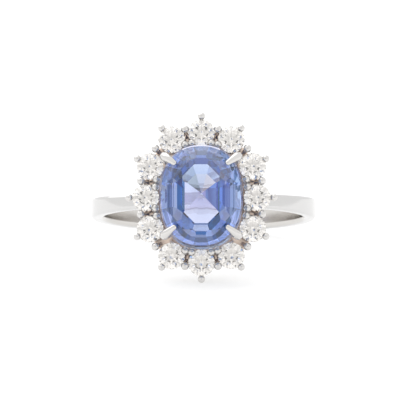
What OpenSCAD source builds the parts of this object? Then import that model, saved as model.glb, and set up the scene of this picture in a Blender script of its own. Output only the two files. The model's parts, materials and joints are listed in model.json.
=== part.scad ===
// Cluster ring: a large oval blue stone in four claws, with twelve small round stones in an
// oval row below it, on a plain polished band. The ring lies on its side, as it does on a
// table: it rests on one prong bead and on the back edge of the band.
//
// Everything is drawn standing on the finger first, with X across the band, Y along the
// finger and Z up through the head, and is then laid down about the centre of the bore.

/* [Band] */
// Inside diameter of the band
finger_d = 17.0; // [15:0.1:20]
// Thickness of the band
band_t = 1.1; // [0.9:0.05:1.4]
// Width of the band at the back of the finger
back_w = 2.5; // [2:0.05:3.2]
// Width of the band under the head
front_w = 1.1; // [0.9:0.05:1.8]
// Rounding of the band's outer edges
edge_r = 0.28; // [0.15:0.01:0.35]
// Rounding of the band's inner edges
inner_edge_r = 0.42; // [0.2:0.01:0.45]

/* [Large stone] */
// Width of the large stone, across the finger
oval_w = 6.85; // [6.5:0.05:7.6]
// Length of the large stone, along the finger
oval_l = 8.4; // [8:0.05:9.4]
// Squareness of the large stone's outline, where 2 is an ellipse
oval_power = 2.3; // [2:0.05:2.6]
// Height of its crown above the girdle
oval_crown = 1.3; // [1:0.05:1.6]
// Depth of its pavilion below the girdle
oval_pavilion = 3.4; // [3:0.05:3.5]
// Thickness of its girdle
oval_girdle = 0.16; // [0.1:0.02:0.24]
// Height of its girdle above the small stones' girdles
oval_lift = 1.8; // [1.6:0.05:2.4]

/* [Small stones] */
// Diameter of each small stone
round_d = 2.2; // [1.9:0.02:2.3]
// Gap between the outlines of the large stone and the small ones, seen from above
row_gap = 0.08; // [0.04:0.01:0.3]
// Squareness of the row, where 2 is an ellipse
row_power = 2.35; // [2.1:0.05:2.6]
// Turn of the row's second stone about the head
second_turn = 31.4; // [30:0.1:33.5]
// Turn of the row's third stone about the head
third_turn = 62.9; // [61.5:0.1:65]
// Height of the small stones' girdles above the band
row_lift = 2.1; // [2:0.05:2.8]

/* [Setting] */
// Clearance between a stone and the metal
seat_gap = 0.05; // [0.02:0.01:0.1]
// Height of a collet
collet_h = 1.35; // [1.2:0.05:1.5]
// Radius at the foot of a collet
collet_foot_r = 0.75; // [0.65:0.01:0.9]
// Radius of the hole through a collet
collet_bore_r = 0.42; // [0.3:0.01:0.5]
// Radius of a prong
prong_r = 0.19; // [0.15:0.01:0.22]
// Radius of the bead on a stone's outer prong
tip_r = 0.31; // [0.24:0.01:0.34]
// Distance of an outer bead's centre outside the girdle of an end or side stone
tip_out = 0.27; // [0.2:0.01:0.3]
// The same for the stones beside a claw
side_tip_out = 0.14; // [0.08:0.01:0.3]
// Turn by which the outer beads of those stones lean to their claw
side_tip_lean = 11; // [0:0.5:14]
// Radius of the beads between two stones
bead_r = 0.34; // [0.3:0.01:0.35]
// Distance of an inner bead's centre outside the girdle of its stone
bead_out = 0.08; // [0.06:0.01:0.2]
// Height of the beads' centres above the small stones' girdles
bead_lift = 0.12; // [0.05:0.01:0.2]
// Distance of a bead between two stones from the line between their centres
between_out = 0.58; // [0.55:0.01:0.7]
// Turn of the two inner beads of a stone from the direction of its neighbour
inner_turn = 34; // [33:0.5:38]
// Distance of the inner prongs' feet inside the row
inner_foot_in = 0.15; // [0.1:0.01:0.4]
// Distance between the feet of a pair of inner prongs
inner_foot_apart = 0.5; // [0.45:0.01:0.6]
// Radius of a claw at its shoulder
claw_r = 0.4; // [0.28:0.01:0.44]
// Radius of a claw at its tip
claw_tip_r = 0.22; // [0.18:0.01:0.32]
// Reach of a claw's tip over the crown of the large stone
claw_reach = 0.74; // [0.4:0.02:0.84]
// Turn of the first claw about the head
claw_turn = 36; // [34:0.5:39]
// Distance of a claw's foot from the middle of the head
claw_foot = 3.15; // [3:0.05:3.25]

/* [Rails] */
// Height of the base rail
base_h = 0.85; // [0.7:0.05:1]
// Top of the base rail above the band
base_lift = 0.1; // [0:0.05:0.3]
// Wall of the base rail
base_t = 0.6; // [0.5:0.05:0.8]
// Middle of the base rail, across the finger
base_w = 5.6; // [5.2:0.1:6]
// Middle of the base rail, along the finger
base_l = 6.6; // [6.2:0.1:7]
// Height of the gallery rail
gallery_h = 0.45; // [0.35:0.05:0.6]
// Wall of the gallery rail
gallery_t = 1.7; // [1.5:0.05:1.8]
// Distance of the gallery rail's middle inside the row of small stones
gallery_in = 0.65; // [0.55:0.05:0.75]
// Depth to which a collet's foot sinks into the gallery rail
collet_sink = 0.15; // [0.1:0.01:0.25]
// Radius of a strut between the base and gallery rails
strut_r = 0.26; // [0.2:0.01:0.32]
// Height of the bearer under the large stone
bearer_h = 0.35; // [0.25:0.05:0.5]
// Depth of the bearer's top below the girdle of the large stone
bearer_drop = 0.95; // [0.85:0.05:1.2]

/* [Hidden] */
$fn = 64;
BEAD_FN = 24;
OVAL_POINTS = 48;
STONES = 12;
// Facets in the large stone's rows next to its girdle, and in its other rows
OVAL_FACETS = 20;
TABLE_SIDES = 8;
// Main facets of a small stone, and the sides of the rounds that its cup is turned to
ROUND_MAINS = 8;
ROUND_SIDES = 4 * ROUND_MAINS;
// Number of chords in a rounded edge of the band
EDGE_CHORDS = 4;

finger_r = finger_d / 2;
band_r = finger_r + band_t;
middle_w = (back_w + front_w) / 2;
// Lean of the band's side faces, which makes it narrower towards the head
side_lean = atan2(back_w - front_w, 4 * band_r);

round_r = round_d / 2;
round_z = band_r + row_lift;
oval_z = round_z + oval_lift;
row_w = oval_w + round_d + 2 * row_gap;
row_l = oval_l + round_d + 2 * row_gap;
gallery_z = round_z - collet_h - gallery_h + collet_sink;
base_z = band_r + base_lift - base_h;

// Round brilliant: each size is a share of the diameter
ROUND_TABLE = 0.57;
ROUND_CROWN = 0.16;
ROUND_PAVILION = 0.43;
ROUND_GIRDLE = 0.03;
// Where the star facets and the lower halves end, as shares of the radius
ROUND_STAR = 0.76;
ROUND_LOWER = 0.24;
round_crown = ROUND_CROWN * round_d;
round_pavilion = ROUND_PAVILION * round_d;
round_girdle = ROUND_GIRDLE * round_d;

// Rings of the large stone: shares of its width, its length and the depth of its crown
STEP = [0.72, 0.815, 0.60];
UPPER_STEP = [0.57, 0.72, 0.83];
TABLE = [0.445, 0.59, 1];
// The same below the girdle, as shares of the pavilion's depth
UPPER_KEEL = [0.75, 0.79, 0.38];
LOWER_KEEL = [0.50, 0.62, 0.66];
CULET = [0, 0, 1];
GIRDLE = [1, 1, 0];

// Angle by which the ring leans so that it rests on a bead and on the back of the band
rest_bead = [-(row_l / 2 + round_r + tip_out), round_z + bead_lift];
rest_edge = [edge_r - back_w / 2, edge_r - band_r];
rest_run = rest_bead - rest_edge;
lean = asin((tip_r - edge_r) / norm(rest_run)) - atan2(rest_run[0], rest_run[1]);

// Point of an oval in the direction of a turn from its middle
function oval_point(w, l, power, turn) =
    let (share = pow(abs(cos(turn)) * 2 / w, power) + pow(abs(sin(turn)) * 2 / l, power))
    pow(share, -1 / power) * [cos(turn), sin(turn)];

// Distance from the middle to the tangent whose normal has a given turn
function oval_reach(w, l, power, turn) =
    let (dual = power / (power - 1))
    w == 0 ? 0
        : pow(pow(abs(cos(turn)) * w / 2, dual) + pow(abs(sin(turn)) * l / 2, dual), 1 / dual);

// Turn of the normal to an oval at one of its points
function oval_normal(w, l, power, point) =
    atan2(
        sign(point[1]) * pow(abs(point[1]) * 2 / l, power - 1) / l,
        sign(point[0]) * pow(abs(point[0]) * 2 / w, power - 1) / w
    );

// Point of an oval where its normal has a given turn
function oval_touch(w, l, power, turn) =
    let (dual = power / (power - 1), reach = oval_reach(w, l, power, turn))
    [
        w / 2 * sign(cos(turn)) * pow(abs(cos(turn)) * w / 2 / reach, dual - 1),
        l / 2 * sign(sin(turn)) * pow(abs(sin(turn)) * l / 2 / reach, dual - 1)
    ];

function oval_outline(w, l, power) =
    [for (i = [0 : OVAL_POINTS - 1]) oval_point(w, l, power, i * 360 / OVAL_POINTS)];

// Radius of a claw between its bends, as a share of the radius at a bend
CLAW_NECK = 0.96;

// Turns of the small stones about the head
HALF_ROW = [0, second_turn, third_turn, 90, 180 - third_turn, 180 - second_turn];
function stone_turn(i) = HALF_ROW[i % 6] + 180 * floor(i / 6);
function stone_xy(i) = oval_point(row_w, row_l, row_power, stone_turn(i % STONES));
function stone_out(i) = oval_normal(row_w, row_l, row_power, stone_xy(i));

// The claws stand between the second and third stones of each quarter
function claw_between(i) = i % 3 == 1;
function beside_claw(i) = i % 3 != 0;
function tip_reach(i) = round_r + (beside_claw(i) ? side_tip_out : tip_out);
function tip_turn(i) =
    stone_out(i) + (beside_claw(i) ? side_tip_lean * (claw_between(i) ? 1 : -1) : 0);
CLAW_TURNS = [claw_turn, 180 - claw_turn, 180 + claw_turn, -claw_turn];

function unit(turn) = [cos(turn), sin(turn)];
function lift(xy, z) = [xy[0], xy[1], z];

module laid_down() rotate([90 - lean, 0, 0]) children();

// Round bar between two points, with radii at its ends
module bar(from, to, r_from, r_to) {
    run = to - from;
    flat = norm([run[0], run[1]]);
    translate(from)
        rotate([0, atan2(flat, run[2]), atan2(run[1], run[0])])
            cylinder(h = norm(run), r1 = r_from, r2 = r_to, $fn = BEAD_FN);
}

module ball(at, r) translate(at) sphere(r = r, $fn = BEAD_FN);

// Prong with a bead of radius r on its end
module prong(foot, head, r) {
    bar(foot, head, prong_r, prong_r);
    ball(head, r);
}

module oval_rail(w, l, power, wall, z, h) {
    translate([0, 0, z])
        linear_extrude(h)
            difference() {
                polygon(oval_outline(w + wall, l + wall, power));
                polygon(oval_outline(w - wall, l - wall, power));
            }
}

// Cutter that rounds an edge of the band at radius r, on its outer or inner wall
module edge_cutter(r, outward, size) {
    spare = 2 * size;
    step = 90 / EDGE_CHORDS;
    past = size * [1 - cos(step), sin(step)];
    arc = [
        for (i = [1 : EDGE_CHORDS - 1])
            size * [cos(i * step) - 1, sin(i * step) - 1]
    ];
    first = [past[0], -size - past[1]];
    last = [-size - past[1], past[0]];
    profile = concat([[spare, first[1]], first], arc, [last, [last[0], spare], [spare, spare]]);
    rotate_extrude()
        polygon([for (p = profile) [r + outward * p[0], p[1]]]);
}

// Plain band: straight walls round the finger, and side faces that lean in to the head
module band() {
    tall = band_r + 1;
    deep = middle_w / 2 + tall * tan(side_lean);
    shallow = middle_w / 2 - tall * tan(side_lean);
    difference() {
        intersection() {
            rotate([90, 0, 0]) cylinder(h = 2 * back_w, r = band_r, center = true);
            rotate([90, 0, 90])
                linear_extrude(2 * tall, center = true)
                    polygon([[-shallow, tall], [-deep, -tall], [deep, -tall], [shallow, tall]]);
        }
        rotate([90, 0, 0]) cylinder(h = 3 * back_w, r = finger_r, center = true);
        for (side = [0, 1])
            mirror([0, side, 0])
                translate([0, middle_w / 2, 0])
                    rotate([side_lean - 90, 0, 0]) {
                        edge_cutter(band_r, 1, edge_r);
                        edge_cutter(finger_r, -1, inner_edge_r);
                    }
    }
}

// Cup under one small stone, around the Z axis with the stone's girdle at zero
module collet() {
    rim = round_r - round_girdle;
    rotate_extrude($fn = ROUND_SIDES)
        polygon([
            [collet_bore_r, -collet_h],
            [collet_foot_r, -collet_h],
            [rim, -round_girdle],
            [collet_bore_r, -round_girdle]
        ]);
}

// Room for one small stone, with its clearance
module round_room() {
    spread = round_r + seat_gap;
    table_r = ROUND_TABLE * round_r + seat_gap;
    top = round_girdle / 2 + round_crown + seat_gap;
    rotate_extrude($fn = ROUND_SIDES)
        polygon([
            [0, -round_pavilion - round_girdle / 2 - 2 * seat_gap],
            [spread, -round_girdle / 2],
            [spread, round_girdle / 2],
            [table_r, top],
            [table_r, top + bead_r],
            [0, top + bead_r]
        ]);
}

module collets() {
    for (i = [0 : STONES - 1])
        translate(lift(stone_xy(i), round_z)) collet();
}

// One bead outside each small stone, one outside each pair, and two inside each pair
// that has no claw
module prongs() {
    for (i = [0 : STONES - 1]) {
        here = stone_xy(i);
        next = stone_xy(i + 1);
        run = next - here;
        along = atan2(run[1], run[0]);
        middle = (here + next) / 2;
        head_z = round_z + bead_lift;
        foot_z = gallery_z + gallery_h / 2;
        reach = round_r + bead_out;
        prong(
            lift(here + collet_foot_r * unit(tip_turn(i)), round_z - collet_h + prong_r),
            lift(here + tip_reach(i) * unit(tip_turn(i)), head_z),
            tip_r
        );
        prong(
            lift(middle, foot_z),
            lift(middle + between_out * unit(along - 90), head_z),
            bead_r
        );
        if (!claw_between(i)) {
            inside = middle + inner_foot_in * unit(along + 90);
            prong(
                lift(inside - inner_foot_apart / 2 * unit(along), foot_z),
                lift(here + reach * unit(along + inner_turn), head_z),
                bead_r
            );
            prong(
                lift(inside + inner_foot_apart / 2 * unit(along), foot_z),
                lift(next + reach * unit(along + 180 - inner_turn), head_z),
                bead_r
            );
        }
    }
}

// Slope of the large stone's lowest crown row
function step_slope(turn) =
    atan2(
        STEP[2] * oval_crown,
        oval_reach(oval_w, oval_l, oval_power, turn)
            - oval_reach(STEP[0] * oval_w, STEP[1] * oval_l, oval_power, turn)
    );

// Four claws that lean out from the base rail, pass the girdle upright and lie on the crown
module claws() {
    stem_r = claw_r * CLAW_NECK;
    for (turn = CLAW_TURNS) {
        edge = oval_touch(oval_w, oval_l, oval_power, turn);
        beside = edge + (claw_r + seat_gap) * unit(turn);
        slope = step_slope(turn);
        rise = claw_reach * tan(slope) + oval_girdle / 2;
        off = claw_tip_r + seat_gap;
        foot = lift(claw_foot * unit(atan2(edge[1], edge[0])), base_z + base_h / 2);
        hip = lift(beside, oval_z - oval_girdle / 2);
        shoulder = lift(beside, oval_z + oval_girdle / 2 + claw_r / 2);
        tip = lift(
            edge + (off * sin(slope) - claw_reach) * unit(turn),
            oval_z + rise + off * cos(slope)
        );
        bar(foot, hip, stem_r, stem_r);
        ball(hip, claw_r);
        bar(hip, shoulder, stem_r, stem_r);
        ball(shoulder, claw_r);
        bar(shoulder, tip, stem_r, claw_tip_r * CLAW_NECK);
        ball(tip, claw_tip_r);
    }
}

// Short struts from the base rail out to the gallery rail, one below each small stone
module struts() {
    for (i = [0 : STONES - 1]) {
        inner = oval_point(base_w, base_l, row_power, stone_turn(i));
        outer = stone_xy(i) - gallery_in * unit(stone_out(i));
        bar(
            lift(inner, base_z + base_h - strut_r),
            lift(outer, gallery_z + gallery_h / 2),
            strut_r,
            strut_r
        );
    }
}

// Oval ring under the large stone's girdle, held by the claws. Its wall fills the room
// between the stone's outline and its pavilion, whose facets stand out from their oval
module bearer() {
    bulge = oval_l / 2 * (1 / cos(180 / OVAL_FACETS) - 1);
    slant = (1 - UPPER_KEEL[0]) * oval_w / 2 / (UPPER_KEEL[2] * oval_pavilion);
    wall = (bearer_drop - oval_girdle / 2) * slant - bulge - 2 * seat_gap;
    oval_rail(
        oval_w - wall - 2 * seat_gap,
        oval_l - wall - 2 * seat_gap,
        oval_power,
        wall,
        oval_z - bearer_drop - bearer_h,
        bearer_h
    );
}

module ring_mount() color("gainsboro") laid_down() {
    band();
    difference() {
        union() {
            oval_rail(base_w, base_l, row_power, base_t, base_z, base_h);
            oval_rail(
                row_w - 2 * gallery_in,
                row_l - 2 * gallery_in,
                row_power,
                gallery_t,
                gallery_z,
                gallery_h
            );
            struts();
            collets();
            prongs();
            claws();
            bearer();
        }
        for (i = [0 : STONES - 1])
            translate(lift(stone_xy(i), round_z)) round_room();
    }
}

// Everything on the inner side of a facet. Its normal has the given turn, and it passes
// through two points, each given as a distance from the axis and a level
module below_facet(turn, outer, inner) {
    run = outer - inner;
    tilt = run[1] <= 0 ? atan2(-run[1], run[0]) : 180 - atan2(run[1], run[0]);
    big = 4 * oval_l;
    rotate([0, 0, turn])
        translate([outer[0], 0, outer[1]])
            rotate([0, tilt, 0])
                translate([-big / 2, -big / 2, -big])
                    cube(big);
}

// Row of facets of the large stone between two of its rings
module oval_facets(outer, inner, depth, count) {
    base = sign(depth) * oval_girdle / 2;
    intersection_for (i = [0 : count - 1]) {
        turn = i * 360 / count;
        below_facet(
            turn,
            [
                oval_reach(outer[0] * oval_w, outer[1] * oval_l, oval_power, turn),
                base + outer[2] * depth
            ],
            [
                oval_reach(inner[0] * oval_w, inner[1] * oval_l, oval_power, turn),
                base + inner[2] * depth
            ]
        );
    }
}

module sapphire() color("cornflowerblue") laid_down() translate([0, 0, oval_z]) {
    low = -oval_girdle / 2 - oval_pavilion;
    high = oval_girdle / 2 + oval_crown;
    intersection() {
        translate([0, 0, low - 1])
            linear_extrude(high - low + 1)
                polygon(oval_outline(oval_w, oval_l, oval_power));
        oval_facets(GIRDLE, STEP, oval_crown, OVAL_FACETS);
        oval_facets(STEP, UPPER_STEP, oval_crown, TABLE_SIDES);
        oval_facets(UPPER_STEP, TABLE, oval_crown, TABLE_SIDES);
        oval_facets(GIRDLE, UPPER_KEEL, -oval_pavilion, OVAL_FACETS);
        oval_facets(UPPER_KEEL, LOWER_KEEL, -oval_pavilion, TABLE_SIDES);
        oval_facets(LOWER_KEEL, CULET, -oval_pavilion, TABLE_SIDES);
    }
}

// Row of facets of a small stone, between two points of its half section
module round_facets(outer, inner, count, start) {
    intersection_for (i = [0 : count - 1])
        below_facet(start + i * 360 / count, outer, inner);
}

// Round brilliant with a table, 8 stars, 8 kites, 16 upper halves, 16 lower halves and 8 mains
module diamond(index) color("aliceblue") laid_down() translate(lift(stone_xy(index), round_z)) {
    half = round_girdle / 2;
    table_r = ROUND_TABLE * round_r;
    star_r = ROUND_STAR * round_r;
    lower_r = ROUND_LOWER * round_r;
    half_step = 180 / ROUND_MAINS;
    quarter_step = half_step / 2;
    near = cos(half_step);
    nearer = cos(quarter_step);
    star_z = half + round_crown * (round_r - star_r * near) / (round_r - table_r);
    lower_z = -half - round_pavilion * (1 - lower_r * near / round_r);
    top_z = half + round_crown;
    low_z = -half - round_pavilion;
    halves = 2 * ROUND_MAINS;
    intersection() {
        translate([0, 0, low_z - 1])
            cylinder(h = top_z - low_z + 1, r = round_r, $fn = ROUND_SIDES);
        round_facets([table_r * near, top_z], [star_r, star_z], ROUND_MAINS, half_step);
        round_facets([round_r, half], [table_r, top_z], ROUND_MAINS, 0);
        round_facets(
            [round_r * nearer, half], [star_r * nearer, star_z], halves, quarter_step
        );
        round_facets(
            [round_r * nearer, -half], [lower_r * nearer, lower_z], halves, quarter_step
        );
        round_facets([round_r, -half], [0, low_z], ROUND_MAINS, 0);
    }
}

ring_mount();
sapphire();
for (i = [1 : STONES])
    diamond(i - 1);
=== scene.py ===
import json
import math
import bmesh
import bpy
from mathutils import Matrix, Vector


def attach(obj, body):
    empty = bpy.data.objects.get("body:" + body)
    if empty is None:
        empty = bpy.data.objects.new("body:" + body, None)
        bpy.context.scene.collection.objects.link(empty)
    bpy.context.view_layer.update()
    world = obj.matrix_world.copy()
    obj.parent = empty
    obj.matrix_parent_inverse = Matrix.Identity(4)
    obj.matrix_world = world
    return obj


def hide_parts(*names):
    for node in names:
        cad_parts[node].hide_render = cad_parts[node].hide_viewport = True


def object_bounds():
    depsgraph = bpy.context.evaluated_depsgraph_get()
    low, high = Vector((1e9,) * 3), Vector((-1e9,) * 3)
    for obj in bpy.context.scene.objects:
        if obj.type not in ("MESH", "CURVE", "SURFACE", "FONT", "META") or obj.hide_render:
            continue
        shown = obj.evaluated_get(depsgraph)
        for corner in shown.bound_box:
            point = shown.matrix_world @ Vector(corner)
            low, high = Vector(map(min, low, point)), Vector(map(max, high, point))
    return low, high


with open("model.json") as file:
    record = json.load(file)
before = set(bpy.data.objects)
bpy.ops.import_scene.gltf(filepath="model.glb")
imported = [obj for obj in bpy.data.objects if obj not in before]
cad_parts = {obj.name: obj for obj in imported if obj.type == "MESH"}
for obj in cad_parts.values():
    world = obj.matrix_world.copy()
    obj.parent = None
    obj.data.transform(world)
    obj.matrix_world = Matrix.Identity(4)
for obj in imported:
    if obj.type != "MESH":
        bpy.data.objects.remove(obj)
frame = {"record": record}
cad_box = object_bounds()

# Band. One strip of white gold, bent round the finger and soldered under the head. Its walls
# are flat, its edges are softened for the finger, and it is filed narrower towards the head.
FINGER_R = 8.5
BAND_T = 1.1
BACK_W = 2.5
FRONT_W = 1.1
BAND_EDGE = 0.28
INNER_EDGE = 0.42
BAND_STEPS = 192
FINGER_AXIS = (0, 1, 0)
band_r = FINGER_R + BAND_T
half_w = (BACK_W + FRONT_W) / 4


def spun_section(bm, corners, axis, steps):
    """Turn a closed section of (radius, level) corners once round an axis through zero."""
    section = [
        bm.verts.new((radius, level, 0) if axis == FINGER_AXIS else (radius, 0, level))
        for radius, level in corners
    ]
    edges = [bm.edges.new((section[i - 1], section[i])) for i in range(len(section))]
    bmesh.ops.spin(
        bm, geom=section + edges, cent=(0, 0, 0), axis=axis, angle=math.tau, steps=steps,
        use_merge=True, use_duplicate=False,
    )


def edges_round(bm, axis):
    """Edges that run round the axis of a spun shape, and not along its section."""
    def turn_of(vert):
        return Vector((vert.co.x, vert.co.z if axis == FINGER_AXIS else vert.co.y))
    return [e for e in bm.edges if turn_of(e.verts[0]).angle(turn_of(e.verts[1])) > 1e-3]


def from_bore(vert):
    """Distance of a corner from the middle line of the finger's bore."""
    return math.hypot(vert.co.x, vert.co.z)


def soften(bm, edges, offset, segments):
    """Round off edges by an offset, or cut them flat where there is one segment."""
    bmesh.ops.bevel(
        bm, geom=edges, offset=offset, segments=segments, profile=0.5, affect="EDGES",
        material=-1,
    )


bm = bmesh.new()
spun_section(
    bm,
    [(FINGER_R, -half_w), (band_r, -half_w), (band_r, half_w), (FINGER_R, half_w)],
    axis=FINGER_AXIS, steps=BAND_STEPS,
)
for vert in bm.verts:
    vert.co.y *= 1 - vert.co.z * (BACK_W - FRONT_W) / (4 * band_r) / half_w
outer_edges = [
    e for e in edges_round(bm, FINGER_AXIS) if from_bore(e.verts[0]) > FINGER_R + BAND_T / 2
]
soften(bm, outer_edges, BAND_EDGE, 6)
inner_edges = [
    e for e in bm.edges
    if all(abs(from_bore(v) - FINGER_R) < 1e-4 for v in e.verts)
    and e.verts[0].co.y * e.verts[1].co.y > 0
]
soften(bm, inner_edges, INNER_EDGE, 8)
# The bore wall is marked for painted shade, a warmer tone that stands for the shade inside the
# band.
painted_bore_shade = bm.verts.layers.float.new("painted_shade_mask")
for vert in bm.verts:
    vert[painted_bore_shade] = 1 if from_bore(vert) < FINGER_R + INNER_EDGE / 2 else 0

# White gold is buffed to a mirror, but a worn ring has fine scratches that cross each other,
# and skin leaves smears on it. One group gives the roughness and the small relief of such a
# surface to each of the golds. Its lengths are in metres, as the render sees the ring.
HAIRLINE_TURN = (0.3, 0.5, 0.9)
HAIRLINE_STRETCH = (900, 5200, 2600)
HAIRLINE_DEPTH = 0.000002
SMEAR_SCALE = 420.0
SMEAR_ROUGHNESS = 0.16


def add_node(tree, kind, **settings):
    """New shader node, with its plain settings made on it."""
    node = tree.nodes.new(kind)
    for key, value in settings.items():
        setattr(node, key, value)
    return node


def wire_up(tree, *pairs):
    """Join sockets two by two."""
    for source, target in pairs:
        tree.links.new(source, target)


polish = bpy.data.node_groups.new("buffed surface", "ShaderNodeTree")
for title, start in (("Scratches", 0.5), ("Gloss roughness", 0.08)):
    socket = polish.interface.new_socket(title, in_out="INPUT", socket_type="NodeSocketFloat")
    socket.default_value = start
for title, kind in (("Roughness", "NodeSocketFloat"), ("Normal", "NodeSocketVector")):
    polish.interface.new_socket(title, in_out="OUTPUT", socket_type=kind)
given = add_node(polish, "NodeGroupInput")
made = add_node(polish, "NodeGroupOutput")
place = add_node(polish, "ShaderNodeTexCoord")
stretch = add_node(polish, "ShaderNodeMapping")
stretch.inputs["Rotation"].default_value = HAIRLINE_TURN
stretch.inputs["Scale"].default_value = HAIRLINE_STRETCH
hairlines = add_node(polish, "ShaderNodeTexNoise")
hairlines.inputs["Scale"].default_value = 1.0
hairlines.inputs["Detail"].default_value = 5.0
smears = add_node(polish, "ShaderNodeTexNoise")
smears.inputs["Scale"].default_value = SMEAR_SCALE
smears.inputs["Detail"].default_value = 3.0
dulled = add_node(polish, "ShaderNodeMath", operation="MULTIPLY_ADD")
dulled.inputs[1].default_value = SMEAR_ROUGHNESS
relief = add_node(polish, "ShaderNodeMath", operation="MULTIPLY")
dent = add_node(polish, "ShaderNodeBump")
dent.inputs["Distance"].default_value = HAIRLINE_DEPTH
wire_up(
    polish,
    (place.outputs["Object"], stretch.inputs["Vector"]),
    (stretch.outputs["Vector"], hairlines.inputs["Vector"]),
    (place.outputs["Object"], smears.inputs["Vector"]),
    (smears.outputs["Fac"], dulled.inputs[0]),
    (given.outputs["Gloss roughness"], dulled.inputs[2]),
    (dulled.outputs[0], made.inputs["Roughness"]),
    (hairlines.outputs["Fac"], relief.inputs[0]),
    (given.outputs["Scratches"], relief.inputs[1]),
    (relief.outputs[0], dent.inputs["Height"]),
    (dent.outputs["Normal"], made.inputs["Normal"]),
)


def white_gold(name, bright, painted_shade, scratches, gloss):
    """Polished white gold that takes a painted shade colour where a piece marks its shaded
    hollows.
    """
    material = bpy.data.materials.new(name)
    material.use_nodes = True
    tree = material.node_tree
    shader = tree.nodes["Principled BSDF"]
    shader.inputs["Metallic"].default_value = 1.0
    worn = add_node(tree, "ShaderNodeGroup", node_tree=polish)
    worn.inputs["Scratches"].default_value = scratches
    worn.inputs["Gloss roughness"].default_value = gloss
    painted_shade_mask = add_node(tree, "ShaderNodeAttribute", attribute_name="painted_shade_mask")
    tint = add_node(tree, "ShaderNodeMix", data_type="RGBA")
    tint.inputs["A"].default_value = (*bright, 1)
    tint.inputs["B"].default_value = (*painted_shade, 1)
    wire_up(
        tree,
        (painted_shade_mask.outputs["Fac"], tint.inputs["Factor"]),
        (tint.outputs["Result"], shader.inputs["Base Color"]),
        (worn.outputs["Roughness"], shader.inputs["Roughness"]),
        (worn.outputs["Normal"], shader.inputs["Normal"]),
    )
    return material


# The band's painted shade on its bore wall is warmer than its bright gold, but about as light.
band_gold = white_gold(
    "band gold", bright=(0.69, 0.685, 0.68), painted_shade=(0.712, 0.692, 0.668),
    scratches=0.6, gloss=0.07,
)

# Every piece is drawn standing on the finger, in millimetres, with X across the band, Y along
# the finger and Z up through the head. It is then laid on its side about the middle of the
# bore, whose axis the frame gives.
MM = 0.001
PAINTED_SHADE_FADE = 0.5
along_finger = Vector(frame["record"]["mounts"][0]["axis"]).normalized()
across = Vector((1, 0, 0))
up_head = across.cross(along_finger)
lay_down = Matrix((across, along_finger, up_head)).transposed().to_4x4() @ Matrix.Scale(MM, 4)


def hand_over(bm, name, node, material, smooth_below, painted_shade_top=None):
    """Lay a finished shape down, and let it ride on the ring in place of its node.

    Edges sharper than smooth_below degrees stay crisp, and at 0 every face is flat. Faces
    that look up the head from below the given top level get painted shade, a warmer tone that
    stands for the shade in the head's hollows, fading in over the first half millimetre.
    """
    bmesh.ops.recalc_face_normals(bm, faces=bm.faces)
    if painted_shade_top:
        bm.normal_update()
        painted_shade = bm.verts.layers.float.new("painted_shade_mask")
        for vert in bm.verts:
            deep = min(max((painted_shade_top - vert.co.z) / PAINTED_SHADE_FADE, 0), 1)
            vert[painted_shade] = deep * min(max(vert.normal.z * 2, 0), 1)
    bmesh.ops.transform(bm, matrix=lay_down, verts=bm.verts)
    mesh = bpy.data.meshes.new(name)
    bm.to_mesh(mesh)
    bm.free()
    piece = bpy.data.objects.new(name, mesh)
    bpy.context.scene.collection.objects.link(piece)
    mesh.materials.append(material)
    if smooth_below:
        mesh.shade_smooth()
        mesh.set_sharp_from_angle(angle=math.radians(smooth_below))
    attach(piece, "root")
    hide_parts(node)


hand_over(bm, "band", "ring_mount", band_gold, smooth_below=50)


# Base and gallery rails. Two flat oval rings of the same gold: the small one is soldered
# across the top of the band, and the large one carries the feet of the small stones' cups.
# Twelve short struts lean out from one to the other.
OVAL_W = 6.85
OVAL_L = 8.4
ROUND_D = 2.2
ROW_GAP = 0.08
ROW_POWER = 2.35
ROW_LIFT = 2.1
SECOND_TURN = 31.4
THIRD_TURN = 62.9
BASE_W = 5.6
BASE_L = 6.6
BASE_T = 0.6
BASE_H = 0.85
BASE_LIFT = 0.1
GALLERY_T = 1.7
GALLERY_H = 0.45
GALLERY_IN = 0.65
COLLET_H = 1.35
COLLET_SINK = 0.15
STRUT_R = 0.26
RAIL_EDGE = 0.09
RAIL_STEPS = 144
HEAD_AXIS = (0, 0, 1)
UP = Vector(HEAD_AXIS)
round_r = ROUND_D / 2
row_w = OVAL_W + ROUND_D + 2 * ROW_GAP
row_l = OVAL_L + ROUND_D + 2 * ROW_GAP
round_z = band_r + ROW_LIFT
base_z = band_r + BASE_LIFT - BASE_H
gallery_z = round_z - COLLET_H + COLLET_SINK - GALLERY_H


def degrees_out(turn):
    """Flat unit vector that points out of the head at a turn in degrees."""
    return Vector((math.cos(math.radians(turn)), math.sin(math.radians(turn)), 0))


def oval_point(w, l, power, turn):
    """Point of an oval in the direction of a turn from its middle, in degrees."""
    out = degrees_out(turn)
    share = abs(out.x * 2 / w) ** power + abs(out.y * 2 / l) ** power
    return out * share ** (-1 / power)


def oval_normal(w, l, power, point):
    """Flat unit vector that stands on an oval at one of its points."""
    return Vector((
        math.copysign(abs(point.x * 2 / w) ** (power - 1) / w, point.x),
        math.copysign(abs(point.y * 2 / l) ** (power - 1) / l, point.y),
        0,
    )).normalized()


def pour(source, target):
    """Add one shape to another, and drop the first."""
    mesh = bpy.data.meshes.new("poured")
    source.to_mesh(mesh)
    source.free()
    target.from_mesh(mesh)
    bpy.data.meshes.remove(mesh)


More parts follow.
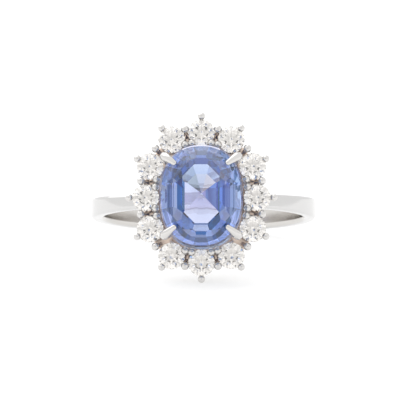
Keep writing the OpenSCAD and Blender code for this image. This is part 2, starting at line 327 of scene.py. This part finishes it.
def oval_rail(bm, w, l, power, wall, low, high, edge):
    """Ring of rectangular section with softened edges, spun round and then pulled oval."""
    middle_r = (w + l) / 4
    rail = bmesh.new()
    spun_section(
        rail,
        [
            (middle_r - wall / 2, low), (middle_r + wall / 2, low),
            (middle_r + wall / 2, high), (middle_r - wall / 2, high),
        ],
        axis=HEAD_AXIS, steps=RAIL_STEPS,
    )
    soften(rail, edges_round(rail, HEAD_AXIS), edge, 3)
    for vert in rail.verts:
        turn = math.degrees(math.atan2(vert.co.y, vert.co.x))
        middle = oval_point(w, l, power, turn)
        off = math.hypot(vert.co.x, vert.co.y) - middle_r
        normal = oval_normal(w, l, power, middle)
        vert.co.x = middle.x + off * normal.x
        vert.co.y = middle.y + off * normal.y
    pour(rail, bm)


def drawn_wire(bm, path, radii, sides=16):
    """Round wire along a path, with a radius at each of its points and both ends closed."""
    shapes = []
    for i, point in enumerate(path):
        ahead = path[min(i + 1, len(path) - 1)] - path[max(i - 1, 0)]
        turned = UP.rotation_difference(ahead).to_matrix().to_4x4()
        shapes.append(Matrix.Translation(point) @ turned @ Matrix.Scale(radii[i], 4))
    start = bmesh.ops.create_circle(
        bm, cap_ends=True, radius=1, segments=sides, matrix=shapes[0]
    )
    end = root = start["verts"][0].link_faces[0]
    for before, after in zip(shapes, shapes[1:]):
        grown = bmesh.ops.extrude_face_region(bm, geom=[end])["geom"]
        # The former end would be left as a wall inside the wire.
        if end != root:
            bmesh.ops.delete(bm, geom=[end], context="FACES_ONLY")
        end = next(g for g in grown if isinstance(g, bmesh.types.BMFace))
        moved = [g for g in grown if isinstance(g, bmesh.types.BMVert)]
        bmesh.ops.transform(bm, matrix=after @ before.inverted(), verts=moved)


half_row = [0, SECOND_TURN, THIRD_TURN, 90, 180 - THIRD_TURN, 180 - SECOND_TURN]
stone_turns = half_row + [turn + 180 for turn in half_row]
stone_spots = [oval_point(row_w, row_l, ROW_POWER, turn) for turn in stone_turns]
stone_outs = [oval_normal(row_w, row_l, ROW_POWER, spot) for spot in stone_spots]
# The setting's painted shade is a warm pinkish brown that stands for the shade in its hollows.
head_gold = white_gold(
    "setting gold", bright=(0.72, 0.705, 0.69), painted_shade=(0.80, 0.66, 0.57),
    scratches=0.4, gloss=0.09,
)
bm = bmesh.new()
oval_rail(bm, BASE_W, BASE_L, ROW_POWER, BASE_T, base_z, base_z + BASE_H, RAIL_EDGE)
oval_rail(
    bm, row_w - 2 * GALLERY_IN, row_l - 2 * GALLERY_IN, ROW_POWER, GALLERY_T,
    gallery_z, gallery_z + GALLERY_H, RAIL_EDGE,
)
for turn, spot, out in zip(stone_turns, stone_spots, stone_outs):
    inner = oval_point(BASE_W, BASE_L, ROW_POWER, turn) + UP * (base_z + BASE_H - STRUT_R)
    outer = spot - out * GALLERY_IN + UP * (gallery_z + GALLERY_H / 2)
    drawn_wire(bm, [inner, outer], [STRUT_R, STRUT_R])
hand_over(
    bm, "head_rails", "ring_mount", head_gold,
    smooth_below=50, painted_shade_top=round_z,
)


# Cups. Each small stone sits in a turned cup with a drilled foot and a seat cut to the angle
# of the stone's lower half. The cups are soldered on the gallery rail, a hair apart.
COLLET_FOOT_R = 0.75
COLLET_BORE_R = 0.42
SEAT_GAP = 0.05
ROUND_GIRDLE = 0.03 * ROUND_D
ROUND_PAVILION = 0.43 * ROUND_D
CUP_LIP = 0.04
CUP_EDGE = 0.015
CUP_STEPS = 48
seat_slope = (ROUND_PAVILION + 2 * SEAT_GAP) / (round_r + SEAT_GAP)
lip_r = round_r - ROUND_GIRDLE - CUP_LIP


def seat_level(radius):
    """Level of the seat below the stone's girdle at a distance from its axis."""
    return -ROUND_GIRDLE / 2 - (round_r + SEAT_GAP - radius) * seat_slope


bm = bmesh.new()
for spot in stone_spots:
    cup = bmesh.new()
    spun_section(
        cup,
        [
            (COLLET_BORE_R, -COLLET_H),
            (COLLET_FOOT_R, -COLLET_H),
            (lip_r + CUP_LIP, seat_level(lip_r)),
            (lip_r, seat_level(lip_r)),
            (COLLET_BORE_R, seat_level(COLLET_BORE_R)),
        ],
        axis=HEAD_AXIS, steps=CUP_STEPS,
    )
    soften(cup, edges_round(cup, HEAD_AXIS), CUP_EDGE, 2)
    bmesh.ops.translate(cup, verts=cup.verts, vec=spot + UP * round_z)
    pour(cup, bm)
hand_over(
    bm, "cups", "ring_mount", head_gold, smooth_below=35, painted_shade_top=round_z
)


# Bead prongs. Drawn wires of gold rise between and outside the cups. Each is pushed over the
# edge of its stone and its end is burred into a round bead: one outside every stone, one
# shared by each pair, and two inside each pair that has no claw.
PRONG_R = 0.19
TIP_R = 0.31
BEAD_R = 0.34
TIP_OUT = 0.27
SIDE_TIP_OUT = 0.14
SIDE_TIP_LEAN = 11
BEAD_OUT = 0.08
BEAD_LIFT = 0.12
BETWEEN_OUT = 0.58
INNER_TURN = 34
INNER_FOOT_IN = 0.15
INNER_FOOT_APART = 0.5
BEAD_BOW = 0.55
BEAD_STEPS = 9
BEAD_NECK = -40
NECK_BELOW = 1.1
WIRE_END = 89


def bead_prong(bm, foot, head, towards, size):
    """Wire from its foot to a bead whose middle is head, bowed towards its stone."""
    rise = (head - foot).normalized()
    bow = (rise + BEAD_BOW * towards).normalized()
    path = [foot, foot.lerp(head, 0.5), head - rise * size * NECK_BELOW]
    radii = [PRONG_R, PRONG_R, PRONG_R]
    for i in range(BEAD_STEPS + 1):
        turn = math.radians(BEAD_NECK + (WIRE_END - BEAD_NECK) * i / BEAD_STEPS)
        path.append(head + bow * size * math.sin(turn))
        radii.append(size * math.cos(turn))
    drawn_wire(bm, path, radii)


bm = bmesh.new()
head_z = round_z + BEAD_LIFT
foot_z = gallery_z + GALLERY_H / 2
inner_reach = round_r + BEAD_OUT
for i, here in enumerate(stone_spots):
    following = stone_spots[(i + 1) % len(stone_spots)]
    run = (following - here).normalized()
    along = math.degrees(math.atan2(run.y, run.x))
    aside = degrees_out(along - 90)
    middle = (here + following) / 2
    # Stones 0, 3, 6 and 9 lie at the ends and sides of the oval. The claws come between the
    # others, whose outer beads stand closer in and lean towards the claw.
    claw_side = (0, 1, -1)[i % 3]
    lean = Matrix.Rotation(math.radians(SIDE_TIP_LEAN * claw_side), 3, "Z")
    out = lean @ stone_outs[i] if claw_side else stone_outs[i]
    tip_reach = round_r + (SIDE_TIP_OUT if claw_side else TIP_OUT)
    bead_prong(
        bm,
        here + out * COLLET_FOOT_R + UP * (round_z - COLLET_H + PRONG_R),
        here + out * tip_reach + UP * head_z,
        -out,
        TIP_R,
    )
    bead_prong(
        bm, middle + UP * foot_z, middle + aside * BETWEEN_OUT + UP * head_z, -aside, BEAD_R
    )
    if claw_side != 1:
        inside = middle - aside * INNER_FOOT_IN + UP * foot_z
        for way, spot in ((1, here), (-1, following)):
            facing = degrees_out(along + (INNER_TURN if way == 1 else 180 - INNER_TURN))
            bead_prong(
                bm,
                inside - run * way * INNER_FOOT_APART / 2,
                spot + facing * inner_reach + UP * head_z,
                -facing,
                BEAD_R,
            )
hand_over(
    bm, "bead_prongs", "ring_mount", head_gold,
    smooth_below=60, painted_shade_top=round_z,
)


# Claws and bearer. Four long claws lean out from the base rail, pass the girdle of the large
# stone and are bent down on its crown, where each ends in a rounded tip. A thin oval bearer
# runs between them and holds the stone up from below.
CLAW_R = 0.4
CLAW_TIP_R = 0.22
CLAW_REACH = 0.74
CLAW_TURN = 36
CLAW_FOOT = 3.15
BEARER_H = 0.35
BEARER_DROP = 0.95
BEARER_EDGE = 0.05
OVAL_POWER = 2.3
OVAL_LIFT = 1.8
OVAL_GIRDLE = 0.16
OVAL_CROWN = 1.3
OVAL_PAVILION = 3.4
OVAL_FACETS = 20
oval_z = round_z + OVAL_LIFT
dual_power = OVAL_POWER / (OVAL_POWER - 1)

# Rings of the large stone where two rows of facets meet, each as shares of the stone's width,
# of its length, and of the depth of its crown or pavilion.
GIRDLE = (1, 1, 0)
STEP = (0.72, 0.815, 0.60)
UPPER_KEEL = (0.75, 0.79, 0.38)

# Below the girdle a claw thickens at shares of its way up. Above it the wire is bent over two
# points, each so far up and out from the place where it passes the girdle.
CLAW_SHANK = ((0, 0.9), (0.4, 0.92), (0.8, 0.96))
CLAW_BEND = ((0.5, 0.03), (0.72, -0.24))
CLAW_STEPS = 10
TIP_STEPS = 6


def oval_reach(ring, turn):
    """Distance from the axis to the side of one of the large stone's rings, by its turn."""
    out = degrees_out(turn)
    total = (
        abs(out.x * ring[0] * OVAL_W / 2) ** dual_power
        + abs(out.y * ring[1] * OVAL_L / 2) ** dual_power
    )
    return total ** (1 / dual_power) if total else 0


def oval_touch(turn):
    """Point of the large stone's outline where its side faces a turn."""
    out = degrees_out(turn)
    size = oval_reach(GIRDLE, turn)
    return Vector((
        OVAL_W / 2 * math.copysign(abs(out.x * OVAL_W / 2 / size) ** (dual_power - 1), out.x),
        OVAL_L / 2 * math.copysign(abs(out.y * OVAL_L / 2 / size) ** (dual_power - 1), out.y),
        0,
    ))


def bent(points, share):
    """Point of a curve that starts and ends at the first and last of four points."""
    while len(points) > 1:
        points = [a.lerp(b, share) for a, b in zip(points, points[1:])]
    return points[0]


bm = bmesh.new()
for turn in (CLAW_TURN, 180 - CLAW_TURN, 180 + CLAW_TURN, -CLAW_TURN):
    edge = oval_touch(turn)
    out = degrees_out(turn)
    slope = math.atan2(STEP[2] * OVAL_CROWN, oval_reach(GIRDLE, turn) - oval_reach(STEP, turn))
    off = CLAW_TIP_R + SEAT_GAP
    beside = edge + out * (CLAW_R + SEAT_GAP)
    foot = edge.normalized() * CLAW_FOOT + UP * (base_z + BASE_H / 2)
    hip = beside + UP * (oval_z - OVAL_GIRDLE / 2)
    tip = edge + out * (off * math.sin(slope) - CLAW_REACH)
    tip += UP * (
        oval_z + OVAL_GIRDLE / 2 + CLAW_REACH * math.tan(slope) + off * math.cos(slope)
    )
    pull = [hip] + [hip + UP * rise + out * aside for rise, aside in CLAW_BEND] + [tip]
    path = [foot.lerp(hip, share) for share, _ in CLAW_SHANK]
    radii = [CLAW_R * thick for _, thick in CLAW_SHANK]
    for i in range(CLAW_STEPS + 1):
        path.append(bent(pull, i / CLAW_STEPS))
        radii.append(CLAW_R + (CLAW_TIP_R - CLAW_R) * (i / CLAW_STEPS) ** 2)
    ahead = (path[-1] - path[-2]).normalized()
    for i in range(1, TIP_STEPS + 1):
        swing = math.radians(WIRE_END * i / TIP_STEPS)
        path.append(tip + ahead * CLAW_TIP_R * math.sin(swing))
        radii.append(CLAW_TIP_R * math.cos(swing))
    drawn_wire(bm, path, radii, sides=24)
bulge = OVAL_L / 2 * (1 / math.cos(math.pi / OVAL_FACETS) - 1)
slant = (1 - UPPER_KEEL[0]) * OVAL_W / 2 / (UPPER_KEEL[2] * OVAL_PAVILION)
bearer_t = (BEARER_DROP - OVAL_GIRDLE / 2) * slant - bulge - 2 * SEAT_GAP
oval_rail(
    bm, OVAL_W - bearer_t - 2 * SEAT_GAP, OVAL_L - bearer_t - 2 * SEAT_GAP, OVAL_POWER,
    bearer_t, oval_z - BEARER_DROP - BEARER_H, oval_z - BEARER_DROP, BEARER_EDGE,
)
hand_over(
    bm, "claws", "ring_mount", head_gold, smooth_below=60, painted_shade_top=round_z
)


# Large stone. A pale cornflower sapphire in a mixed cut: a long eight-sided table, four rows
# of crown facets, a thin girdle, and five rows below it that run down to the culet. Each
# facet is one straight cut, as on the wheel, and the claws hold the stone in place.
UPPER_STEP = (0.57, 0.72, 0.83)
TABLE = (0.445, 0.59, 1)
LOWER_KEEL = (0.50, 0.62, 0.66)
CULET = (0, 0, 1)
CULET_UP = 0.33
OUTLINE_SIDES = 64
ROUGH_BELOW = 0.5
SIDES = 8
RIM_W = 0.17
RIM_REACH = 0.06
RIM_ANGLE = 0.5


def saw_off(bm, point, normal):
    """Take away what lies beyond a plane, and close the cut with one face."""
    cut = bmesh.ops.bisect_plane(
        bm, geom=bm.verts[:] + bm.edges[:] + bm.faces[:], dist=1e-5,
        plane_co=point, plane_no=normal, clear_outer=True,
    )
    rim = [g for g in cut["geom_cut"] if isinstance(g, bmesh.types.BMEdge)]
    if len(rim) > 2:
        bmesh.ops.contextual_create(bm, geom=rim)


def cut_facet(bm, turn, outer, inner):
    """Cut a facet that passes two points, each a distance from the axis and a level."""
    run = Vector(outer) - Vector(inner)
    tilt = math.atan2(-run.y, run.x) if run.y <= 0 else math.pi - math.atan2(run.y, run.x)
    out = degrees_out(turn)
    normal = out * math.sin(tilt) + UP * math.cos(tilt)
    saw_off(bm, out * outer[0] + UP * outer[1], normal)


def oval_facets(bm, outer, inner, depth, count):
    """Row of facets between two rings of the large stone."""
    level = math.copysign(OVAL_GIRDLE / 2, depth)
    for i in range(count):
        turn = i * 360 / count
        aside = CULET_UP * math.sin(math.radians(turn)) if inner == CULET else 0
        cut_facet(
            bm, turn,
            (oval_reach(outer, turn), level + outer[2] * depth),
            (oval_reach(inner, turn) + aside, level + inner[2] * depth),
        )


def between(ring, other, share):
    """Ring that lies part of the way from one ring of the large stone to another."""
    return tuple(a + (b - a) * share for a, b in zip(ring, other))


bm = bmesh.new()
bmesh.ops.create_circle(bm, cap_ends=True, radius=1, segments=OUTLINE_SIDES)
low = -OVAL_GIRDLE / 2 - OVAL_PAVILION - ROUGH_BELOW
high = OVAL_GIRDLE / 2 + OVAL_CROWN
for vert in bm.verts:
    turn = math.degrees(math.atan2(vert.co.y, vert.co.x))
    vert.co = oval_point(OVAL_W, OVAL_L, OVAL_POWER, turn) + UP * low
raised = bmesh.ops.extrude_face_region(bm, geom=bm.faces[:])["geom"]
bmesh.ops.translate(
    bm, vec=UP * (high - low), verts=[g for g in raised if isinstance(g, bmesh.types.BMVert)]
)
# The six main rows come first, and then three finer ones that break the edges between them.
for outer, inner, depth, count in (
    (GIRDLE, STEP, OVAL_CROWN, OVAL_FACETS),
    (STEP, UPPER_STEP, OVAL_CROWN, SIDES),
    (UPPER_STEP, TABLE, OVAL_CROWN, SIDES),
    (GIRDLE, UPPER_KEEL, -OVAL_PAVILION, OVAL_FACETS),
    (UPPER_KEEL, LOWER_KEEL, -OVAL_PAVILION, SIDES),
    (LOWER_KEEL, CULET, -OVAL_PAVILION, SIDES),
    (
        between(GIRDLE, UPPER_KEEL, 0.75), between(UPPER_KEEL, LOWER_KEEL, 0.35),
        -OVAL_PAVILION, OVAL_FACETS,
    ),
    (
        between(UPPER_KEEL, LOWER_KEEL, 0.75), between(LOWER_KEEL, CULET, 0.2),
        -OVAL_PAVILION, SIDES,
    ),
    (between(GIRDLE, STEP, 0.75), between(STEP, UPPER_STEP, 0.4), OVAL_CROWN, OVAL_FACETS),
):
    oval_facets(bm, outer, inner, depth, count)
rim = [
    e for e in bm.edges
    if all(abs(v.co.z - OVAL_GIRDLE / 2) < RIM_REACH for v in e.verts)
    and e.calc_face_angle(0) > RIM_ANGLE
]
soften(bm, rim, RIM_W, 1)
bmesh.ops.translate(bm, vec=UP * oval_z, verts=bm.verts)

# Each facet is painted in a tone of its own: painted light and shade that stand for what the
# facets reflect and let through. The eight directions run anticlockwise from the right. The
# crown's rows are painted from ink to bright sky, the rim glows silver with a painted
# highlight, the rows under it glow with painted light, and the mains under the table glow
# with pale painted light.
INK = Vector((0.0, 0.035, 0.22))
DUSK = Vector((0.055, 0.15, 0.42))
DAY = Vector((0.235, 0.37, 0.62))
BRIGHT = Vector((0.57, 0.78, 1.0))
STEEL = Vector((0.55, 0.72, 0.86))
HAZE = Vector((0.52, 0.62, 0.60))
SLATE = Vector((0.06, 0.06, 0.08))
SILVER = Vector((0.8, 0.8, 0.9))
LAVENDER = Vector((1.25, 0.97, 1.10))
ROSE = Vector((1.6, 1.0, 0.85))
VIOLET = Vector((0.06, 0.05, 0.26))
KEEL_BLUE = Vector((0.05, 0.13, 0.32))
DEEP_BLUE = Vector((0.002, 0.006, 0.015))
UNLIT = Vector((0, 0, 0))
TABLE_TINT = Vector((1.0, 0.97, 0.98))
MAIN_TINT = Vector((0.75, 0.75, 0.75))
UPPER_TONES = (DUSK * 1.4, DAY * 0.8, DAY, DAY, INK, DUSK, BRIGHT, INK * 0.3)
LOWER_TONES = (BRIGHT, BRIGHT, DAY, BRIGHT, BRIGHT * 0.8, DUSK * 1.2, INK, DUSK * 1.4)
OUTER_TONES = (STEEL, HAZE, HAZE * 0.6, STEEL, STEEL, STEEL, DAY * 1.3, DAY)
RIM_GLOWS = (0.0, 0.1, 0.85, 0.25, 0.12, 0.15, 0.0, 0.05)
SHOULDER_GLOWS = (0, 0.35, 0.4, 0.2, 0, 0.1, 0.1, 0)
MAIN_GLOWS = (
    VIOLET + ROSE * 0.06, ROSE * 0.4, LAVENDER * 0.37, LAVENDER * 0.05,
    LAVENDER * 0.66, LAVENDER * 0.62, LAVENDER * 0.6, LAVENDER * 0.6,
)
STREAK = 0.45

# Slopes in degrees at which one row of facets ends and the next begins, from the table down,
# and how near the culet the mains reach.
TABLE_SLOPE = 2
UPPER_SLOPE = 29
LOWER_SLOPE = 38
OUTER_SLOPE = 52
RIM_SLOPE = 88
KEEL_SLOPE = 92
SHOULDER_SLOPE = 142
CULET_REACH = 0.02

bmesh.ops.recalc_face_normals(bm, faces=bm.faces)
tint = bm.faces.layers.float_color.new("tint")
glow = bm.faces.layers.float_color.new("glow")
culet_z = oval_z - OVAL_GIRDLE / 2 - OVAL_PAVILION
# Each face is given its painted tone, which colours the light it lets through, and its painted
# glow, light that it gives off though it is no lamp. STREAK darkens odd facets of some rows
# into painted dark streaks.
for face in bm.faces:
    turn = math.degrees(math.atan2(face.normal.y, face.normal.x))
    side = round(turn / (360 / SIDES)) % SIDES
    odd = round(turn * OVAL_FACETS / 360) % 2
    slope = math.degrees(face.normal.angle(UP))
    shade = BRIGHT
    light = DEEP_BLUE
    if slope < TABLE_SLOPE:
        shade = TABLE_TINT
        light = UNLIT
    elif slope < UPPER_SLOPE:
        shade = UPPER_TONES[side]
    elif slope < LOWER_SLOPE:
        shade = LOWER_TONES[side] * (STREAK if odd and side % 4 == 0 else 1)
    elif slope < OUTER_SLOPE:
        shade = OUTER_TONES[side] * (STREAK if odd else 1)
    elif slope < RIM_SLOPE:
        shade = SLATE
        light = SILVER * RIM_GLOWS[side]
    elif min(v.co.z for v in face.verts) < culet_z + CULET_REACH:
        shade = MAIN_TINT
        light = MAIN_GLOWS[side]
    elif slope > SHOULDER_SLOPE:
        light = LAVENDER * SHOULDER_GLOWS[side]
    elif slope > KEEL_SLOPE:
        light = KEEL_BLUE * odd
    face[tint] = (*shade, 1)
    face[glow] = (*light, 1)


def clear_stone(name, tint, ior, absorbed, density):
    """Cut and polished stone: clear, with a tint that deepens along the light's path."""
    material = bpy.data.materials.new(name)
    material.use_nodes = True
    tree = material.node_tree
    shader = tree.nodes["Principled BSDF"]
    shader.inputs["Base Color"].default_value = (*tint, 1)
    shader.inputs["Roughness"].default_value = 0.0
    shader.inputs["IOR"].default_value = ior
    shader.inputs["Transmission Weight"].default_value = 1.0
    if density:
        body = add_node(tree, "ShaderNodeVolumeAbsorption")
        body.inputs["Color"].default_value = (*absorbed, 1)
        body.inputs["Density"].default_value = density
        wire_up(tree, (body.outputs["Volume"], tree.nodes["Material Output"].inputs["Volume"]))
    return material


sapphire_blue = clear_stone(
    "sapphire blue", tint=(0.93, 0.95, 1.0), ior=1.77, absorbed=(0.22, 0.42, 0.64), density=260
)
tree = sapphire_blue.node_tree
shader = tree.nodes["Principled BSDF"]
# The facets' painted glows feed Emission and their painted tones feed Base Color.
shader.inputs["Emission Strength"].default_value = 1.0
painted_facet_tone = add_node(tree, "ShaderNodeAttribute", attribute_name="tint")
facet_glow = add_node(tree, "ShaderNodeAttribute", attribute_name="glow")
wire_up(
    tree,
    (painted_facet_tone.outputs["Color"], shader.inputs["Base Color"]),
    (facet_glow.outputs["Color"], shader.inputs["Emission Color"]),
)
hand_over(bm, "sapphire_stone", "sapphire", sapphire_blue, smooth_below=0)


# Small stones. Twelve round brilliants of one stock size, clear with a breath of warmth. Each
# has a table, 8 stars, 8 kites, 16 upper halves, 16 lower halves and 8 mains round a pointed
# culet, and the beads hold it in its cup.
ROUND_CROWN = 0.16 * ROUND_D
ROUND_TABLE = 0.57
ROUND_STAR = 0.76
ROUND_LOWER = 0.24
ROUND_SIDES = 64
HALF_EIGHTH = 22.5
HALF_SIXTEENTH = 11.25
# The small stones glow faintly with painted light, so they look brighter than the tent alone
# makes them.
DIAMOND_PAINTED_GLOW = 0.02
half = ROUND_GIRDLE / 2
table_r = ROUND_TABLE * round_r
star_r = ROUND_STAR * round_r
lower_r = ROUND_LOWER * round_r
near = math.cos(math.radians(HALF_EIGHTH))
nearer = math.cos(math.radians(HALF_SIXTEENTH))
star_z = half + ROUND_CROWN * (round_r - star_r * near) / (round_r - table_r)
lower_z = -half - ROUND_PAVILION * (1 - lower_r * near / round_r)
top_z = half + ROUND_CROWN
low_z = -half - ROUND_PAVILION
diamond_clear = clear_stone(
    "clear brilliant", tint=(0.99, 0.955, 0.915), ior=2.42, absorbed=(1, 1, 1), density=0
)
shader = diamond_clear.node_tree.nodes["Principled BSDF"]
shader.inputs["Emission Color"].default_value = (1, 1, 1, 1)
shader.inputs["Emission Strength"].default_value = DIAMOND_PAINTED_GLOW
for i, spot in enumerate(stone_spots):
    bm = bmesh.new()
    bmesh.ops.create_cone(
        bm, cap_ends=True, segments=ROUND_SIDES, radius1=round_r, radius2=round_r,
        depth=2 * ROUND_D,
    )
    saw_off(bm, UP * top_z, UP)
    for outer, inner, count, first in (
        ((table_r * near, top_z), (star_r, star_z), 8, HALF_EIGHTH),
        ((round_r, half), (table_r, top_z), 8, 0),
        ((round_r * nearer, half), (star_r * nearer, star_z), 16, HALF_SIXTEENTH),
        ((round_r * nearer, -half), (lower_r * nearer, lower_z), 16, HALF_SIXTEENTH),
        ((round_r, -half), (0, low_z), 8, 0),
    ):
        for k in range(count):
            cut_facet(bm, first + k * 360 / count, outer, inner)
    bmesh.ops.translate(bm, vec=spot + UP * round_z, verts=bm.verts)
    hand_over(
        bm, "diamond_stone_%d" % (i + 1), "diamond_%d" % (i + 1),
        diamond_clear, smooth_below=0,
    )


# Floor. A wide sheet of matt white paper at the level that the ring rests on, laid on a table
# that is lit from below. It belongs to the studio and isn't part of the ring.
FLOOR_M = 3.0
floor_bm = bmesh.new()
bmesh.ops.create_grid(floor_bm, x_segments=1, y_segments=1, size=FLOOR_M)
bmesh.ops.translate(floor_bm, vec=(0, 0, cad_box[0][2]), verts=floor_bm.verts)
floor_mesh = bpy.data.meshes.new("floor")
floor_bm.to_mesh(floor_mesh)
floor_bm.free()
floor = bpy.data.objects.new("floor", floor_mesh)
bpy.context.scene.collection.objects.link(floor)
paper = bpy.data.materials.new("white paper")
paper.use_nodes = True
shader = paper.node_tree.nodes["Principled BSDF"]
shader.inputs["Base Color"].default_value = (0.45, 0.45, 0.45, 1)
shader.inputs["Roughness"].default_value = 0.9
shader.inputs["Specular IOR Level"].default_value = 0.1
shader.inputs["Emission Color"].default_value = (1, 1, 1, 1)
shader.inputs["Emission Strength"].default_value = 0.6
floor_mesh.materials.append(paper)


# Light. A white tent lit from all round, a little darker on the side where the camera stands,
# and one soft sun from the back left that throws the shadow to the front right.
LENS_HOLE = (0, -0.985, 0.17)
HOLE_EDGE = 0.88
HOLE_MIDDLE = 0.99
HOLE_GREY = 0.6
SUN_FROM = (-0.45, 0.55, 1.0)
SUN_ENERGY = 0.9
SUN_SPREAD = math.radians(70)
scene = bpy.context.scene
scene.view_settings.view_transform = "Standard"
tent = bpy.data.worlds.new("light tent")
scene.world = tent
tent.use_nodes = True
tree = tent.node_tree
sky = tree.nodes["Background"]
where = add_node(tree, "ShaderNodeTexCoord")
hole = add_node(tree, "ShaderNodeVectorMath", operation="DOT_PRODUCT")
hole.inputs[1].default_value = LENS_HOLE
dimming = add_node(tree, "ShaderNodeValToRGB")
for element, position, grey in zip(
    dimming.color_ramp.elements, (HOLE_EDGE, HOLE_MIDDLE), (1.0, HOLE_GREY)
):
    element.position = position
    element.color = (grey, grey, grey, 1)
wire_up(
    tree,
    (where.outputs["Generated"], hole.inputs[0]),
    (hole.outputs["Value"], dimming.inputs["Fac"]),
    (dimming.outputs["Color"], sky.inputs["Color"]),
)
sky.inputs["Strength"].default_value = 1.0
sun_data = bpy.data.lights.new("soft sun", "SUN")
sun_data.energy = SUN_ENERGY
sun_data.angle = SUN_SPREAD
sun = bpy.data.objects.new("soft sun", sun_data)
sun.rotation_euler = Vector(SUN_FROM).to_track_quat("Z", "Y").to_euler()
scene.collection.objects.link(sun)


# Camera. It looks at the face of the head from a little below and to the right of the head's
# own axis, as the photograph does, and from far enough away to keep the sides nearly parallel.
VIEW_BELOW_HEAD = math.radians(4.6)
VIEW_RIGHT_OF_HEAD = math.radians(0.8)
CAMERA_MM = 300.0
SENSOR_MM = 36.0
PIXELS = 410
PIXELS_PER_MM = 11.64
BORE_X = 203.5
BORE_Y = 208.9
beside = across * math.sin(VIEW_RIGHT_OF_HEAD) + up_head * math.cos(VIEW_RIGHT_OF_HEAD)
to_camera = beside * math.cos(VIEW_BELOW_HEAD) - along_finger * math.sin(VIEW_BELOW_HEAD)
screen_up = (along_finger - to_camera * to_camera.dot(along_finger)).normalized()
screen_right = screen_up.cross(to_camera)
camera_data = bpy.data.cameras.new("camera")
camera_data.sensor_width = SENSOR_MM
camera_data.lens = SENSOR_MM * CAMERA_MM * PIXELS_PER_MM / PIXELS
camera_data.clip_start = 0.01
camera_data.clip_end = 10.0
camera = bpy.data.objects.new("camera", camera_data)
stand = to_camera * CAMERA_MM
stand += screen_right * (PIXELS / 2 - BORE_X) / PIXELS_PER_MM
stand += screen_up * (BORE_Y - PIXELS / 2) / PIXELS_PER_MM
camera.location = stand * MM
camera.rotation_euler = Matrix((screen_right, screen_up, to_camera)).transposed().to_euler()
scene.collection.objects.link(camera)
scene.camera = camera
